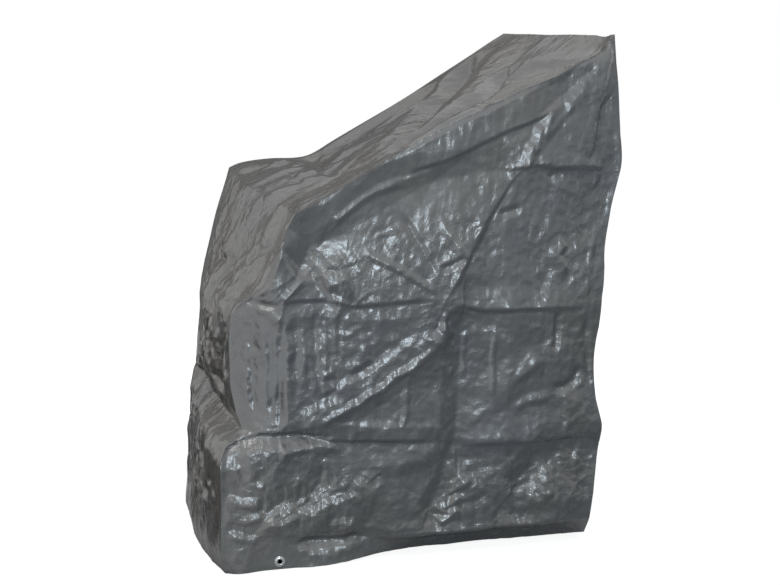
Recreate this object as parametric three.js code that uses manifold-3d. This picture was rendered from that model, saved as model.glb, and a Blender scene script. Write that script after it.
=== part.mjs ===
// Fitted rain cover for a stack of garden chairs: a hollow bag of woven polyethylene sheet, open at the foot.
// It is high at the back and slopes down to a low front. It hangs loose, so its walls crease. Its hem lies on
// the floor at the front, and turns in at the back. Millimetres, +Z up from the floor. The front faces -Y.
import * as THREE from "three";
import { mergeVertices } from "three/addons/utils/BufferGeometryUtils.js";
import Module from "manifold-3d";

// Driving dimensions.
const WALL_X = 350; // the side walls stand this far either side of the middle
const SHEET = 2; // thickness of the cloth
const HEM = { height: 38, sheet: 3 }; // the doubled strips along the side hems, which hold the eyelets
const SEAM_GAP = 0.3; // between two pieces that meet in a seam
const CELLS = { across: 13, along: 25, up: 20 }; // facets over the width, from front to back, and up a wall
const NEIGHBOUR_REACH = 70; // a wall's folds are felt this far past a seam
const FOLD_SHARPNESS = 1.3; // 1 is a roof with straight sides, and more draws the crest in
const EYELET = { y: -334, z: 18, bore: 5.5, tube: 6.6, flange: 12.5, thick: 0.9, bevel: 0.5, sides: 24 };
const EYELET_FLAT = { within: 52, beyond: 100 }; // the hem is flat this near an eyelet, and free beyond

// How far in from each edge of a side wall the shape of that edge is felt.
const FADE = {
  right: { start: 105, end: 60, foot: 50, head: 80 },
  left: { start: 60, end: 60, foot: 90, head: 80 },
};

// The four upright corners, from hem to top.
const CORNERS = {
  frontRight: [
    { z: 0, x: 340, y: -455 },
    { z: 50, x: 350, y: -466 },
    { z: 170, x: 351, y: -465 },
    { z: 283, x: 348, y: -462 },
    { z: 320, x: 312, y: -419 },
    { z: 430, x: 286, y: -428 },
    { z: 575, x: 290, y: -424 },
    { z: 640, x: 308, y: -364 },
    { z: 720, x: 331, y: -329 },
    { z: 806, x: 338, y: -287 },
  ],
  frontLeft: [
    { z: 0, x: -344, y: -441 },
    { z: 95, x: -350, y: -430 },
    { z: 300, x: -350, y: -416 },
    { z: 548, x: -350, y: -392 },
    { z: 706, x: -350, y: -360 },
    { z: 855, x: -344, y: -315 },
  ],
  backRight: [
    { z: 12, x: 322, y: 420 },
    { z: 60, x: 346, y: 422 },
    { z: 242, x: 350, y: 441 },
    { z: 428, x: 347, y: 425 },
    { z: 605, x: 350, y: 447 },
    { z: 711, x: 350, y: 446 },
    { z: 925, x: 350, y: 480 },
    { z: 1195, x: 340, y: 463 },
  ],
  backLeft: [
    { z: 0, x: -342, y: 428 },
    { z: 310, x: -350, y: 445 },
    { z: 500, x: -347, y: 431 },
    { z: 900, x: -350, y: 474 },
    { z: 1203, x: -344, y: 442 },
  ],
};

// What lies between those corners along the hem and along the top, corner to corner.
const EDGES = {
  hemRight: [
    { y: -425, x: 351, z: 0 },
    { y: -290, x: 354, z: 0 },
    { y: -180, x: 352, z: 3 },
    { y: -95, x: 330, z: 10 },
    { y: 20, x: 312, z: 9 },
    { y: 240, x: 310, z: 8 },
  ],
  hemLeft: [
    { y: -290, x: -353, z: 0 },
    { y: -60, x: -349, z: 4 },
    { y: 210, x: -354, z: 0 },
  ],
  hemFront: [
    { x: -230, y: -464, z: 0 },
    { x: 60, y: -479, z: 0 },
    { x: 200, y: -479, z: 0 },
  ],
  hemBack: [
    { x: -150, y: 441, z: 2 },
    { x: 90, y: 430, z: 6 },
  ],
  topRight: [
    { y: -189, x: 340, z: 856 },
    { y: -51, x: 341, z: 934 },
    { y: 182, x: 343, z: 1048 },
    { y: 325, x: 342, z: 1112 },
    { y: 430, x: 341, z: 1164 },
  ],
  topLeft: [
    { y: -285, x: -347, z: 866 },
    { y: -205, x: -348, z: 879 },
    { y: -110, x: -348, z: 884 },
    { y: -37, x: -348, z: 921 },
    { y: 187, x: -348, z: 1046 },
    { y: 390, x: -347, z: 1172 },
  ],
  topFront: [
    { x: -170, y: -309, z: 836 },
    { x: 20, y: -300, z: 818 },
  ],
  topBack: [{ x: 0, y: 450, z: 1196 }],
};

// The main folds of each wall: straight creases that stand out by rise, or sink where it is negative.
// They fade over the widths to the left and right, as seen from outside by someone who looks along them.
// Their ends are (Y, Z) on the right and left walls, (X, Z) on the front and back, and (X, Y) on the top.
const FOLDS = {
  right: [
    { from: [340, 1032], to: [110, 966], rise: -9, left: 60, right: 55 },
    { from: [110, 966], to: [-65, 862], rise: -12, left: 60, right: 60 },
    { from: [-65, 862], to: [-215, 765], rise: -12, left: 55, right: 60 },
    { from: [440, 1140], to: [60, 606], rise: 15, left: 150, right: 110 },
    { from: [-300, 612], to: [60, 606], rise: 12, left: 150, right: 60 },
    { from: [60, 606], to: [430, 578], rise: 9, left: 150, right: 90 },
    { from: [60, 528], to: [-330, 322], rise: 15, left: 60, right: 120 },
    { from: [66, 520], to: [50, 130], rise: -8, left: 45, right: 45 },
    { from: [-450, 288], to: [40, 280], rise: -9, left: 60, right: 55 },
    { from: [60, 272], to: [430, 267], rise: 10, left: 80, right: 55 },
    { from: [330, 250], to: [245, 120], rise: -9, left: 60, right: 45 },
    { from: [-300, 110], to: [-130, 215], rise: 8, left: 50, right: 50 },
    { from: [120, 300], to: [330, 470], rise: 7, left: 60, right: 60 },
  ],
  left: [
    { from: [-300, 615], to: [430, 600], rise: 8, left: 120, right: 90 },
    { from: [-420, 300], to: [410, 300], rise: -8, left: 60, right: 60 },
    { from: [420, 1120], to: [-40, 620], rise: 12, left: 130, right: 110 },
    { from: [-40, 560], to: [-330, 320], rise: 11, left: 70, right: 90 },
    { from: [150, 560], to: [170, 90], rise: -8, left: 50, right: 50 },
  ],
  front: [
    { from: [-345, 402], to: [330, 312], rise: -13, left: 70, right: 45 },
    { from: [-120, 800], to: [-20, 360], rise: 10, left: 100, right: 90 },
    { from: [230, 780], to: [150, 420], rise: -8, left: 60, right: 60 },
    { from: [-250, 330], to: [40, 40], rise: 9, left: 80, right: 80 },
  ],
  back: [
    { from: [-340, 900], to: [340, 895], rise: 7, left: 90, right: 70 },
    { from: [-340, 600], to: [340, 590], rise: -8, left: 70, right: 70 },
    { from: [-340, 300], to: [340, 285], rise: 7, left: 80, right: 60 },
    { from: [-300, 1150], to: [-110, 620], rise: 9, left: 80, right: 80 },
  ],
  top: [
    { from: [300, 440], to: [-150, 60], rise: -8, left: 70, right: 70 },
    { from: [240, 430], to: [-290, 230], rise: 8, left: 70, right: 60 },
    { from: [320, 440], to: [60, -40], rise: 7, left: 60, right: 60 },
    { from: [190, 60], to: [-60, -280], rise: -7, left: 60, right: 60 },
    { from: [-330, -110], to: [150, -150], rise: -9, left: 80, right: 60 },
  ],
};

const mix = THREE.MathUtils.lerp;
const ramp = (distance, reach) => Math.max(0, 1 - distance / reach);

// A smooth curve through the rows of a table, for u from 0 to 1, stepped evenly in its key column.
function curve(rows, key) {
  const slope = (i, column) => {
    const [before, after] = [rows[Math.max(i - 1, 0)], rows[Math.min(i + 1, rows.length - 1)]];
    return (after[column] - before[column]) / (after[key] - before[key]);
  };
  return (u) => {
    const value = mix(rows[0][key], rows[rows.length - 1][key], u);
    const next = rows.findIndex((row, i) => i > 0 && value <= row[key]);
    const k = (next < 0 ? rows.length : next + 1) - 2;
    const span = rows[k + 1][key] - rows[k][key];
    const w = (value - rows[k][key]) / span;
    const at = (column) => {
      const [p, q] = [rows[k][column], rows[k + 1][column]];
      const [m, n] = [slope(k, column) * span, slope(k + 1, column) * span];
      return p + w * (m + w * (3 * (q - p) - 2 * m - n + w * (2 * (p - q) + m + n)));
    };
    return new THREE.Vector3(at("x"), at("y"), at("z"));
  };
}
const upright = (name) => curve(CORNERS[name], "z");
const foot = (name) => CORNERS[name][0];
const head = (name) => CORNERS[name][CORNERS[name].length - 1];
const between = (end, name, from, to, key) => curve([end(from), ...EDGES[name], end(to)], key);

// The five patches of cloth. Columns run from start to end and rows from foot to head, in coordinates a and b.
const PATCHES = {
  right: {
    a: "y", b: "z", out: [1, 0, 0], columns: CELLS.along, rows: CELLS.up, hem: true,
    start: upright("frontRight"), end: upright("backRight"),
    foot: between(foot, "hemRight", "frontRight", "backRight", "y"),
    head: between(head, "topRight", "frontRight", "backRight", "y"),
    past: { start: "front", end: "back", head: "top" },
  },
  left: {
    a: "y", b: "z", out: [-1, 0, 0], columns: CELLS.along, rows: CELLS.up, hem: true,
    start: upright("frontLeft"), end: upright("backLeft"),
    foot: between(foot, "hemLeft", "frontLeft", "backLeft", "y"),
    head: between(head, "topLeft", "frontLeft", "backLeft", "y"),
    past: { start: "front", end: "back", head: "top" },
  },
  front: {
    a: "x", b: "z", out: [0, -1, 0], columns: CELLS.across, rows: CELLS.up, hem: true,
    start: upright("frontLeft"), end: upright("frontRight"),
    foot: between(foot, "hemFront", "frontLeft", "frontRight", "x"),
    head: between(head, "topFront", "frontLeft", "frontRight", "x"),
    past: { start: "left", end: "right", head: "top" },
  },
  back: {
    a: "x", b: "z", out: [0, 1, 0], columns: CELLS.across, rows: CELLS.up, hem: true,
    start: upright("backLeft"), end: upright("backRight"),
    foot: between(foot, "hemBack", "backLeft", "backRight", "x"),
    head: between(head, "topBack", "backLeft", "backRight", "x"),
    past: { start: "left", end: "right", head: "top" },
  },
  top: {
    a: "x", b: "y", out: [0, -0.46, 0.888], columns: CELLS.across, rows: CELLS.along, hem: false,
    start: between(head, "topLeft", "frontLeft", "backLeft", "y"),
    end: between(head, "topRight", "frontRight", "backRight", "y"),
    foot: between(head, "topFront", "frontLeft", "frontRight", "x"),
    head: between(head, "topBack", "backLeft", "backRight", "x"),
    past: { start: "left", end: "right", foot: "front", head: "back" },
  },
};
const outward = (name) => new THREE.Vector3(...PATCHES[name].out);

// How far the folds of a patch stand out at a point on it. Where folds meet, the highest and lowest count.
function relief(name, point) {
  const here = new THREE.Vector2(point[PATCHES[name].a], point[PATCHES[name].b]);
  // On the left and back walls the second axis turns the other way when seen from outside.
  const hand = name === "left" || name === "back" ? -1 : 1;
  let [high, low] = [0, 0];
  for (const fold of FOLDS[name]) {
    const start = new THREE.Vector2(...fold.from);
    const run = new THREE.Vector2(...fold.to).sub(start);
    const length = run.length();
    const offset = here.clone().sub(start);
    const on = offset.dot(run) / length;
    const off = (hand * run.cross(offset)) / length;
    const beyond = Math.max(0, -on, on - length);
    const share = ramp(Math.hypot(off, beyond), off > 0 ? fold.left : fold.right) ** FOLD_SHARPNESS;
    high = Math.max(high, fold.rise * share);
    low = Math.min(low, fold.rise * share);
  }
  return high + low;
}

// A point that blends the four edges of a patch by the weights given to them.
function blend(patch, s, t, w) {
  const point = new THREE.Vector3();
  point.addScaledVector(patch.start(t), w.start).addScaledVector(patch.end(t), w.end);
  point.addScaledVector(patch.foot(s), w.foot).addScaledVector(patch.head(s), w.head);
  point.addScaledVector(patch.foot(0), -w.start * w.foot).addScaledVector(patch.foot(1), -w.end * w.foot);
  point.addScaledVector(patch.head(0), -w.start * w.head).addScaledVector(patch.head(1), -w.end * w.head);
  return point;
}

// The patch without its folds. A side wall is a plane, which only its edges leave.
function ground(name, s, t) {
  const patch = PATCHES[name];
  const point = blend(patch, s, t, { start: 1 - s, end: s, foot: 1 - t, head: t });
  const fade = FADE[name];
  if (fade) {
    const along = patch.end(t).y - patch.start(t).y;
    const up = patch.head(s).z - patch.foot(s).z;
    const w = {
      start: ramp(s * along, fade.start),
      end: ramp((1 - s) * along, fade.end),
      foot: ramp(t * up, fade.foot),
      head: ramp((1 - t) * up, fade.head),
    };
    const free = (1 - w.start - w.end) * (1 - w.foot - w.head);
    point.x = blend(patch, s, t, w).x + free * WALL_X * patch.out[0];
  }
  return point;
}

// Rows of a wall: the lowest is as high as the hem strip, and the others share what is above it.
function rowShare(patch, s, row) {
  if (!patch.hem || row === 0) return row / patch.rows;
  const lowest = HEM.height / (patch.head(s).z - patch.foot(s).z);
  return mix(lowest, 1, (row - 1) / (patch.rows - 1));
}

// A point of a patch with its folds, with those of its neighbours near a seam, and flat around an eyelet.
function drape(name, s, t) {
  const patch = PATCHES[name];
  const base = ground(name, s, t);
  const point = base.clone().addScaledVector(outward(name), relief(name, base));
  const seams = { start: patch.start(t), end: patch.end(t), foot: patch.foot(s), head: patch.head(s) };
  for (const [side, other] of Object.entries(patch.past)) {
    const felt = ramp(base.distanceTo(seams[side]), NEIGHBOUR_REACH) ** 2;
    if (felt > 0) point.addScaledVector(outward(other), relief(other, seams[side]) * felt);
  }
  if (FADE[name]) {
    const away = Math.hypot(point.y - EYELET.y, point.z - EYELET.z);
    const free = THREE.MathUtils.smoothstep(away, EYELET_FLAT.within, EYELET_FLAT.beyond);
    point.x = mix((WALL_X + HEM.sheet) * patch.out[0], point.x, free);
  }
  return point;
}

// Each patch as rows of points.
const grids = {};
for (const [name, patch] of Object.entries(PATCHES)) {
  grids[name] = [];
  for (let row = 0; row <= patch.rows; row += 1) {
    grids[name].push([]);
    for (let column = 0; column <= patch.columns; column += 1) {
      const s = column / patch.columns;
      grids[name][row].push(drape(name, s, rowShare(patch, s, row)));
    }
  }
}

// Patches that meet share the very points of their seam.
const SIDES = {
  start: (grid, k) => [grid[k], 0],
  end: (grid, k) => [grid[k], grid[0].length - 1],
  foot: (grid, k) => [grid[0], k],
  head: (grid, k) => [grid[grid.length - 1], k],
};
const SEAMS = [
  { from: "left", side: "start", to: "front", at: "start" },
  { from: "right", side: "start", to: "front", at: "end" },
  { from: "left", side: "end", to: "back", at: "start" },
  { from: "right", side: "end", to: "back", at: "end" },
  { from: "left", side: "head", to: "top", at: "start" },
  { from: "right", side: "head", to: "top", at: "end" },
  { from: "front", side: "head", to: "top", at: "foot" },
  { from: "back", side: "head", to: "top", at: "head" },
];
for (const { from, side, to, at } of SEAMS) {
  const count = at === "start" || at === "end" ? grids[to].length : grids[to][0].length;
  for (let k = 0; k < count; k += 1) {
    const [source, i] = SIDES[side](grids[from], k);
    const [target, j] = SIDES[at](grids[to], k);
    target[j] = source[i];
  }
}

// The outward normal of each patch at each of its points, so that a seam point has one for each patch there.
const normals = new Map();
for (const [name, grid] of Object.entries(grids)) {
  for (let row = 1; row < grid.length; row += 1) {
    for (let column = 1; column < grid[row].length; column += 1) {
      const [below, above] = [grid[row - 1], grid[row]];
      const cell = [below[column - 1], below[column], above[column], above[column - 1]];
      const normal = cell[2].clone().sub(cell[0]).cross(cell[3].clone().sub(cell[1]));
      if (normal.dot(outward(name)) < 0) normal.negate();
      for (const point of cell) {
        const found = normals.get(point) ?? {};
        found[name] = (found[name] ?? new THREE.Vector3()).add(normal);
        normals.set(point, found);
      }
    }
  }
}

// The way into the cloth at a point: one unit in from every patch that meets there, so that a seam is a mitre.
function inward(point) {
  const meeting = Object.values(normals.get(point)).map((normal) => normal.clone().normalize());
  const way = new THREE.Vector3();
  const rounds = 60; // each moves it on to every inner face in turn, which closes in on where they cross
  for (let round = 0; round < rounds; round += 1) {
    for (const normal of meeting) way.addScaledVector(normal, -1 - way.dot(normal));
  }
  return way;
}

// The half of the seam gap by which a piece made of the named patches stands back from what is sewn to it.
function standBack(point, own) {
  const [mine, theirs] = [new THREE.Vector3(), new THREE.Vector3()];
  for (const [name, normal] of Object.entries(normals.get(point))) {
    (own.includes(name) ? mine : theirs).add(normal.clone().normalize());
  }
  if (theirs.lengthSq() === 0) return theirs;
  return mine.normalize().sub(theirs.normalize()).setLength(SEAM_GAP / 2);
}

// A closed sheet from rows of points: its outer face, its inner face and the rim between them. The lift moves
// its first and last rows along the cloth.
function sheet(rows, own, thickness, lift = { first: 0, last: 0 }) {
  const across = rows[0].length;
  const last = rows.length - 1;
  const [outer, inner] = [[], []];
  rows.forEach((line, r) =>
    line.forEach((point, c) => {
      const shift = standBack(point, own);
      const step = rows[Math.min(r + 1, last)][c].clone().sub(rows[Math.max(r - 1, 0)][c]).normalize();
      shift.addScaledVector(step, r === 0 ? lift.first : r === last ? lift.last : 0);
      const face = point.clone().add(shift);
      const back = face.clone().addScaledVector(inward(point), thickness);
      for (const p of [face, back]) p.z = Math.max(p.z, 0); // nothing reaches below the floor
      outer.push(...face.toArray());
      inner.push(...back.toArray());
    }),
  );
  const index = [];
  const at = (r, c, side) => side * rows.length * across + r * across + c;
  const quad = (i, j, k, l) => index.push(i, j, k, i, k, l);
  for (let r = 0; r < last; r += 1) {
    for (let c = 0; c < across - 1; c += 1) {
      quad(at(r, c, 0), at(r, c + 1, 0), at(r + 1, c + 1, 0), at(r + 1, c, 0));
      quad(at(r, c, 1), at(r + 1, c, 1), at(r + 1, c + 1, 1), at(r, c + 1, 1));
    }
    quad(at(r, 0, 0), at(r + 1, 0, 0), at(r + 1, 0, 1), at(r, 0, 1));
    quad(at(r, across - 1, 0), at(r, across - 1, 1), at(r + 1, across - 1, 1), at(r + 1, across - 1, 0));
  }
  for (let c = 0; c < across - 1; c += 1) {
    quad(at(0, c, 0), at(0, c, 1), at(0, c + 1, 1), at(0, c + 1, 0));
    quad(at(last, c, 0), at(last, c + 1, 0), at(last, c + 1, 1), at(last, c, 1));
  }
  if (own[0] === "left") index.reverse();
  const position = new THREE.Float32BufferAttribute([...outer, ...inner], 3);
  return new THREE.BufferGeometry().setAttribute("position", position).setIndex(index);
}

const wasm = await Module();
wasm.setup();

// One closed geometry cut from another.
function cut(geometry, tool) {
  const [body, cutter] = [geometry, tool].map((shape) => {
    shape.deleteAttribute("normal");
    shape.deleteAttribute("uv");
    const merged = mergeVertices(shape);
    const vertProperties = new Float32Array(merged.attributes.position.array);
    const triVerts = new Uint32Array(merged.index.array);
    return new wasm.Manifold(new wasm.Mesh({ numProp: 3, vertProperties, triVerts }));
  });
  const made = body.subtract(cutter).getMesh();
  const position = new THREE.BufferAttribute(made.vertProperties, 3);
  const index = new THREE.BufferAttribute(made.triVerts, 1);
  return new THREE.BufferGeometry().setAttribute("position", position).setIndex(index);
}

// A hem strip with the hole that its eyelet's tube goes through.
function hemStrip(name) {
  const strip = sheet(grids[name].slice(0, 2), [name], HEM.sheet, { first: 0, last: -SEAM_GAP / 2 });
  const radius = EYELET.tube + SEAM_GAP;
  const drill = new THREE.CylinderGeometry(radius, radius, 6 * HEM.sheet, EYELET.sides);
  drill.rotateZ(Math.PI / 2).translate(PATCHES[name].out[0] * WALL_X, EYELET.y, EYELET.z);
  return cut(strip, drill);
}

// A pressed eyelet: a tube between a flange on the outside of the hem and a washer on its inside.
function eyelet() {
  const { bore, tube, flange, thick, bevel } = EYELET;
  const face = HEM.sheet / 2 + SEAM_GAP; // of each flange, from the middle of the hem
  const half = [
    [tube, face],
    [flange, face],
    [flange, face + thick - bevel],
    [flange - bevel, face + thick],
    [bore + bevel, face + thick],
    [bore, face + thick - bevel],
  ];
  const mirrored = half.map(([radius, height]) => [radius, -height]).reverse();
  const profile = [...mirrored, ...half, mirrored[0]].map((corner) => new THREE.Vector2(...corner));
  return new THREE.LatheGeometry(profile, EYELET.sides).rotateZ(-Math.PI / 2);
}

const finish = (name, color, roughness, metalness) =>
  new THREE.MeshStandardMaterial({ name, color, roughness, metalness, flatShading: true });
const cloth = finish("woven_sheet", 0x686b6d, 0.38, 0);
const metal = finish("eyelet_metal", 0xcfd1d2, 0.32, 0.9);

const cover = new THREE.Group();
cover.name = "stacking_chair_cover";
function piece(name, geometry, material) {
  const mesh = new THREE.Mesh(geometry, material);
  mesh.name = name;
  cover.add(mesh);
  return mesh;
}

// The strip runs up the front, over the top and down the back.
const strip = [...grids.front, ...grids.top.slice(1), ...grids.back.slice(0, -1).reverse()];
piece("centre_strip", sheet(strip, ["front", "top", "back"], SHEET), cloth);
for (const name of ["right", "left"]) {
  const wall = grids[name].slice(1);
  piece(`${name}_side_panel`, sheet(wall, [name], SHEET, { first: SEAM_GAP / 2, last: 0 }), cloth);
  piece(`${name}_hem_strip`, hemStrip(name), cloth);
  const ring = piece(`${name}_eyelet`, eyelet(), metal);
  ring.position.set((WALL_X + HEM.sheet / 2) * PATCHES[name].out[0], EYELET.y, EYELET.z);
}

export default cover;
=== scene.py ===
"""A grey woven polyethylene rain cover for a stack of garden chairs, hanging creased and open at the foot.

Sizes of the cover are in millimetres, as in the part. The stage and what Blender gets are in metres.
"""

import math

import bpy
import bmesh
import numpy as np
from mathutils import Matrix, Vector
from mathutils.bvhtree import BVHTree
from mathutils.geometry import delaunay_2d_cdt


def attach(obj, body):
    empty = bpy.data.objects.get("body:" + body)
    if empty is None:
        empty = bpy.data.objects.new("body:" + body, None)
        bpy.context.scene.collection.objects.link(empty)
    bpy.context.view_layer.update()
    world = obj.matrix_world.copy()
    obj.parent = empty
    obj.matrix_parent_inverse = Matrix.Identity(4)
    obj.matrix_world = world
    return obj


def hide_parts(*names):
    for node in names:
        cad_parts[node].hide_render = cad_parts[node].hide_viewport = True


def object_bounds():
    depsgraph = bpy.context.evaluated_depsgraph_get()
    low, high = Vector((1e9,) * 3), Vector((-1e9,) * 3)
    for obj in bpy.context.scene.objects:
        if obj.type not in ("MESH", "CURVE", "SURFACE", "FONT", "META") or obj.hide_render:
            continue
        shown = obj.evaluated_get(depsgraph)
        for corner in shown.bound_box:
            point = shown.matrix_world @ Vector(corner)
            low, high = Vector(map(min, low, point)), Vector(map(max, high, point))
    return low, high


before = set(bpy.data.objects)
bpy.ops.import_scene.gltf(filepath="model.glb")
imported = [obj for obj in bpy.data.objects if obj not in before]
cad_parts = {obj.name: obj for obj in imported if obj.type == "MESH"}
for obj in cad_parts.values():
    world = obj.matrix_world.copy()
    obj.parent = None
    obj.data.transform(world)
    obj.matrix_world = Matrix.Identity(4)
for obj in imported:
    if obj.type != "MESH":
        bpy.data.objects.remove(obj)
cad_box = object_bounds()

MM = 0.001
X, Y, Z = range(3)

# ---------- sizes of the part

WALL_X = 350  # the side walls stand this far either side of the middle
HEM = {"height": 38, "sheet": 3}
EYELET = {"y": -334, "z": 18, "bore": 5.5, "tube": 6.6, "flange": 12.5, "thick": 0.9}
EYELET_FLAT = {"within": 34, "beyond": 80}  # the hem is flat this near an eyelet, and free beyond
SLOPE_OUT = np.array((0, -0.46, 0.888))  # the way that the top faces
NEIGHBOUR_REACH = 70  # a wall's folds are felt this far past a seam

FADE = {
    "right": {"start": 105, "end": 60, "foot": 44, "head": 80},
    "left": {"start": 60, "end": 60, "foot": 90, "head": 80},
}

# The four upright corners, from hem to top: x, y, z.
CORNERS = {"front_right": [
    (340, -455, 0), (350, -466, 50), (351, -465, 170), (348, -462, 283), (312, -419, 320),
    (286, -428, 430), (290, -424, 575), (308, -364, 640), (331, -329, 720), (338, -287, 806),
], "front_left": [
    (-344, -441, 0), (-350, -430, 95), (-350, -416, 300), (-350, -392, 548), (-350, -360, 706),
    (-344, -315, 855),
], "back_right": [
    (322, 420, 12), (346, 422, 60), (350, 441, 242), (347, 425, 428), (350, 447, 605),
    (350, 446, 711), (350, 480, 925), (340, 463, 1195),
], "back_left": [
    (-342, 428, 0), (-350, 445, 310), (-347, 431, 500), (-350, 474, 900), (-344, 442, 1203),
]}

# What lies between those corners along the hem and along the top: x, y, z.
EDGES = {
    "hem_right": [
        (351, -425, 0), (354, -290, 0), (352, -180, 3), (330, -95, 10), (312, 20, 9), (310, 240, 8),
    ],
    "hem_left": [(-353, -290, 0), (-349, -60, 4), (-354, 210, 0)],
    "hem_front": [(-230, -464, 0), (60, -479, 0), (200, -479, 0)],
    "hem_back": [(-150, 441, 2), (90, 430, 6)],
    "top_right": [
        (340, -189, 856), (341, -51, 934), (343, 182, 1048), (342, 325, 1112), (341, 430, 1164),
    ],
    "top_left": [
        (-347, -285, 866), (-348, -205, 879), (-348, -110, 884), (-348, -37, 921), (-348, 187, 1046),
        (-347, 390, 1172),
    ],
    "top_front": [(-170, -309, 836), (20, -300, 818)],
    "top_back": [(0, 450, 1196)],
}

# ---------- the creases

# A crease stands out by its rise, or sinks where that is negative. It fades over its widths to the left and
# right, as seen from outside by someone who looks along its path. Paths are (y, z) on the side walls,
# (x, z) on the front and back, and (x, y) on the top. Of the creases of one list the highest and the lowest
# count at each point, and the two lists of a wall add up.
# The bright band that climbs over the right wall.
BAND = [(-275, 324), (-230, 335), (-200, 352), (-150, 372), (-120, 392), (-90, 405), (-60, 430), (-20, 450),
        (0, 470), (40, 502)]
# Each row: rise, left, right, and the points of the path.
MAIN = {"right": [
    (-7, 34, 90, (-262, 752), (-200, 797), (-150, 836), (-100, 866), (-60, 880), (0, 897)),
    (-11, 26, 180, (-222, 740), (-195, 768), (-170, 790), (-130, 820), (-100, 836), (-50, 851)),
    (12, 70, 90, (-287, 806), (-189, 856), (-51, 934), (182, 1048), (325, 1112), (430, 1164)),
    (-9, 60, 240, (-50, 851), (0, 862), (60, 875), (140, 886), (190, 891)),
    (-19, 90, 80, (-222, 742), (-243, 715), (-253, 690), (-250, 655), (-244, 636)),
    (-9, 90, 80, (-250, 655), (-240, 600), (-232, 560)),
    (22, 40, 70, (-350, 645), (-334, 690), (-322, 730)),
    (10, 150, 16, (58, 600), (99, 690), (153, 781), (212, 868), (245, 900)),
    (9, 60, 190, (230, 880), (300, 969), (352, 1030), (396, 1093)),
    (-8, 200, 150, (428, 1110), (415, 1000), (402, 900)),
    (11, 60, 40, (245, 900), (300, 969), (352, 1030)),
    (9, 40, 50, (352, 1030), (396, 1093), (429, 1152), (450, 1180)),
    (9, 150, 60, (-382, 614), (-230, 607), (-100, 592), (0, 590), (60, 598)),
    (7, 150, 130, (60, 598), (150, 578), (336, 577), (430, 577)),
    (9, 48, 32, *BAND, (60, 525)),
    (-20, 110, 45, (99, 540), (97, 450), (93, 380), (90, 262)),
    (-12, 60, 32, (88, 262), (64, 236), (52, 175), (38, 148), (24, 118)),
    (-10, 18, 45, (-460, 283), (-420, 292), (-370, 308), (-340, 312), (-284, 307), (-220, 297)),
    (-9, 30, 130, (-220, 297), (-200, 294), (-100, 280), (45, 270)),
    (8, 120, 40, (60, 270), (192, 266), (342, 263), (430, 266)),
    (-14, 45, 120, (243, 158), (262, 180), (285, 208), (310, 236), (345, 245), (400, 250), (430, 243)),
    (11, 130, 70, (-400, 10), (-270, 90), (-150, 170)),
    (12, 120, 200, (-340, 90), (-336, 180), (-330, 272)),
    (12, 60, 50, (282, 112), (332, 106)),
    (-13, 42, 45, (-338, 150), (-290, 156), (-252, 176), (-236, 202)),
    (8, 110, 30, (-205, 188), (-180, 210), (-150, 221), (-50, 224), (0, 232), (40, 262)),
    (6, 62, 70, (120, 300), (220, 400), (330, 470)),
    (-8, 22, 26, (-360, 32), (-330, 52), (-300, 58), (-200, 56), (-150, 60), (-120, 53), (-90, 44)),
], "left": [
    (8, 120, 90, (-300, 615), (60, 596), (430, 600)),
    (-8, 60, 60, (-420, 300), (0, 290), (410, 300)),
    (12, 130, 110, (420, 1120), (200, 870), (-40, 620)),
    (11, 70, 90, (-40, 560), (-180, 430), (-330, 320)),
    (-8, 50, 50, (150, 560), (150, 330), (170, 90)),
], "front": [
    (-15, 40, 60, (-170, 352), (0, 338), (180, 330), (330, 306)),
    (10, 100, 90, (-120, 800), (-60, 600), (-20, 370)),
    (-12, 60, 60, (260, 780), (230, 640), (160, 420)),
    (9, 80, 80, (-250, 330), (-120, 180), (40, 40)),
], "back": [
    (7, 90, 70, (-340, 900), (0, 905), (340, 895)),
    (-8, 70, 70, (-340, 600), (0, 588), (340, 590)),
    (7, 80, 60, (-340, 300), (0, 296), (340, 285)),
    (9, 80, 80, (-300, 1150), (-190, 880), (-110, 620)),
], "top": [
    (-24, 90, 55, (-250, 300), (-200, 255), (-100, 165), (10, 105), (110, 20)),
    (-18, 90, 50, (290, 330), (262, 270), (255, 200)),
    (-16, 50, 40, (60, 300), (70, 280), (140, 235), (185, 195)),
    (-22, 50, 60, (165, 185), (225, 130), (255, 70), (275, 0)),
    (-20, 80, 60, (285, 412), (250, 390), (120, 310)),
    (-18, 45, 50, (300, 275), (275, 240), (250, 215)),
    (-16, 60, 50, (-270, -112), (-60, -140), (150, -150)),
    (-20, 50, 60, (90, -130), (100, -210), (130, -290)),
    (-18, 60, 70, (-270, 170), (-262, 60), (-240, -100)),
    (12, 50, 45, (285, 150), (302, 90), (295, 10)),
    (12, 90, 70, (-150, 330), (0, 250), (120, 130), (220, -20)),
]}

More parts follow.
